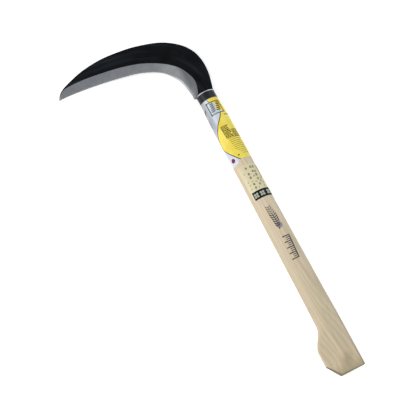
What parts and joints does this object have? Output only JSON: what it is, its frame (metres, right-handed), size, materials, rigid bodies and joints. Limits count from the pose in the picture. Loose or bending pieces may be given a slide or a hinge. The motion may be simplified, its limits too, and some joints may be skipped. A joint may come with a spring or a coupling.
{
  "type": "hand sickle",
  "caption": "Hand sickle with a curved single-bevel black steel blade, a short steel ferrule and a straight pale wooden handle with a hooked butt and film labels.",
  "frame": {"origin": "centre of the flat end face of the handle's butt", "axes": "+Y along the handle towards the blade, the blade curves towards -X, +Z out of the bevelled side of the blade; the handle's middle plane is z = 0"},
  "size_m": [0.1944, 0.5172, 0.0264],
  "materials": {
    "handle_wood": "sanded, unvarnished",
    "ferrule_steel": "black lacquer with a bright rim",
    "blade_black": "satin black lacquer, ground bevel",
    "edge_bright": "whetstone ground",
    "pin_steel": "dull wire nail",
    "wedge_wood": "split hardwood",
    "foil_label": "printed yellow and silver film",
    "cream_label": "printed cream film"
  },
  "bodies": {
    "root": {"handle": "handle_wood", "ferrule": "ferrule_steel", "blade_body": "blade_black", "edge_steel": "edge_bright", "tang_pins": "pin_steel", "tang_wedge": "wedge_wood", "upper_label": "foil_label", "lower_label": "cream_label"}
  },
  "joints": []
}
